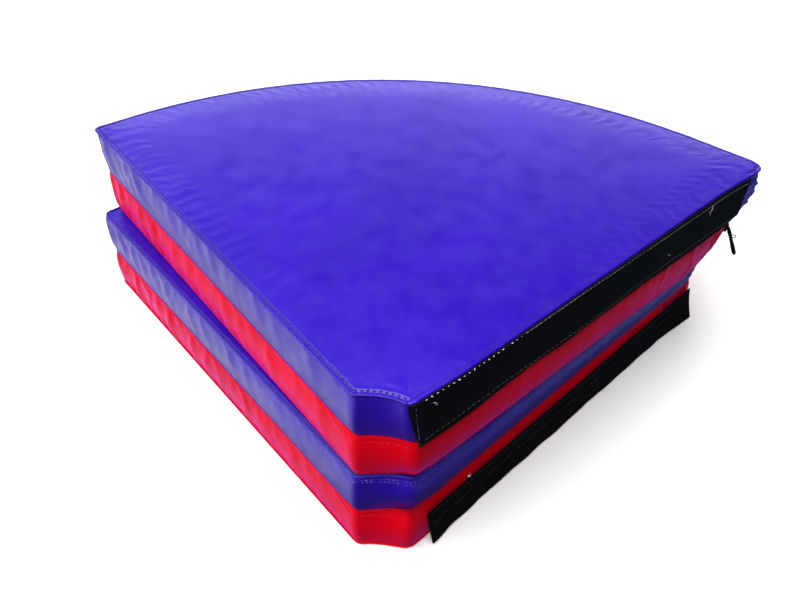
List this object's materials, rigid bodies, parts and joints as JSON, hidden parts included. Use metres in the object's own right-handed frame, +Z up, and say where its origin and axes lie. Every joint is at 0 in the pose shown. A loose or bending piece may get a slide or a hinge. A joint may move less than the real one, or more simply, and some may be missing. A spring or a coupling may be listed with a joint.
{
  "type": "folding crash mat",
  "caption": "Round pole crash mat folded into a stack of quarter-circle foam pads in vinyl covers, with fabric hinges, zips and black closing strips.",
  "frame": {"origin": "on the floor, under the middle of the folded stack's bounding box", "axes": "+Z up through the four pads; +X to the right as seen from the cut corners, along the longest extent; +Y from the cut corners towards the arcs. The pole line, the shared centre of the four quarters, is the vertical through x 0.00621, y -0.31488"},
  "size_m": [0.8556, 0.5702, 0.2602],
  "materials": {
    "foam": "pale cellular foam, dry and matte",
    "purple_vinyl": "blue-violet PVC-coated cloth, satin, with a very fine grain",
    "red_vinyl": "bright red PVC-coated cloth, satin, with a very fine grain",
    "zip_tape": "black woven tape",
    "zip_teeth": "black nylon coil",
    "zip_metal": "blacked die-cast metal, semi-gloss",
    "hook_strip": "black hook tape, stiff and matte, sewn with pale thread",
    "loop_strip": "black loop tape, napped and matte"
  },
  "bodies": {
    "base_pad": {"base_foam_core": "foam", "base_face_sheet": "red_vinyl", "base_back_sheet": "red_vinyl", "base_side_band": "red_vinyl", "base_zip_tape": "zip_tape", "base_zip_chain": "zip_teeth", "base_loop_strip": "loop_strip", "fold_lower_leaf_below": "red_vinyl"},
    "lower_pad": {"lower_foam_core": "foam", "lower_face_sheet": "purple_vinyl", "lower_back_sheet": "purple_vinyl", "lower_side_band": "purple_vinyl", "lower_zip_tape": "zip_tape", "lower_zip_chain": "zip_teeth", "fold_lower_leaf_above": "purple_vinyl", "fold_middle_leaf_below": "purple_vinyl"},
    "upper_pad": {"upper_foam_core": "foam", "upper_face_sheet": "red_vinyl", "upper_back_sheet": "red_vinyl", "upper_side_band": "red_vinyl", "upper_zip_tape": "zip_tape", "upper_zip_chain": "zip_teeth", "fold_middle_leaf_above": "red_vinyl", "fold_upper_leaf_below": "red_vinyl"},
    "top_pad": {"top_foam_core": "foam", "top_face_sheet": "purple_vinyl", "top_back_sheet": "purple_vinyl", "top_side_band": "purple_vinyl", "top_zip_tape": "zip_tape", "top_zip_chain": "zip_teeth", "top_hook_strip": "hook_strip", "fold_upper_leaf_above": "purple_vinyl"},
    "base_slider": {"base_zip_slider": "zip_metal"},
    "lower_slider": {"lower_zip_slider": "zip_metal"},
    "upper_slider": {"upper_zip_slider": "zip_metal"},
    "top_slider": {"top_zip_slider": "zip_metal"},
    "base_pull": {"base_zip_pull": "zip_metal"},
    "lower_pull": {"lower_zip_pull": "zip_metal"},
    "upper_pull": {"upper_zip_pull": "zip_metal"},
    "top_pull": {"top_zip_pull": "zip_metal"}
  },
  "joints": [
    {"name": "fold_lower", "type": "hinge", "parent": "base_pad", "child": "lower_pad", "pos_m": [0.00621, -0.31488, 0.0645], "axis": [0.7325, -0.6807, 0], "range_deg": [0, 180]},
    {"name": "fold_middle", "type": "hinge", "parent": "lower_pad", "child": "upper_pad", "pos_m": [0.00621, -0.31488, 0.1301], "axis": [0.694, 0.7199, 0], "range_deg": [0, 180]},
    {"name": "fold_upper", "type": "hinge", "parent": "upper_pad", "child": "top_pad", "pos_m": [0.00621, -0.31488, 0.1957], "axis": [0.7071, -0.7071, 0], "range_deg": [0, 180]},
    {"name": "base_zip_run", "type": "hinge", "parent": "base_pad", "child": "base_slider", "pos_m": [0.00621, -0.31488, 0.04121], "axis": [0, 0, 1], "range_deg": [-63, 0]},
    {"name": "lower_zip_run", "type": "hinge", "parent": "lower_pad", "child": "lower_slider", "pos_m": [0.00621, -0.31488, 0.08779], "axis": [0, 0, 1], "range_deg": [0, 62]},
    {"name": "upper_zip_run", "type": "hinge", "parent": "upper_pad", "child": "upper_slider", "pos_m": [0.35769, 0.10816, 0.17241], "axis": [0, 0, 1], "range_deg": [0, 44]},
    {"name": "top_zip_run", "type": "hinge", "parent": "top_pad", "child": "top_slider", "pos_m": [0.00621, -0.31488, 0.21899], "axis": [0, 0, 1], "range_deg": [-63, 0]},
    {"name": "base_pull_swing", "type": "hinge", "parent": "base_slider", "child": "base_pull", "pos_m": [-0.28717, 0.21339, 0.04121], "axis": [0.8742, 0.4855, 0], "range_deg": [-3, 160]},
    {"name": "lower_pull_swing", "type": "hinge", "parent": "lower_slider", "child": "lower_pull", "pos_m": [0.34109, 0.18811, 0.08779], "axis": [0.8324, -0.5542, 0], "range_deg": [-3, 160]},
    {"name": "upper_pull_swing", "type": "hinge", "parent": "upper_slider", "child": "upper_pull", "pos_m": [0.41175, 0.10343, 0.17241], "axis": [-0.0872, -0.9962, 0], "range_deg": [-28, 65]},
    {"name": "top_pull_swing", "type": "hinge", "parent": "top_slider", "child": "top_pull", "pos_m": [-0.26654, 0.22433, 0.21899], "axis": [0.8923, 0.4514, 0], "range_deg": [-3, 160]}
  ]
}
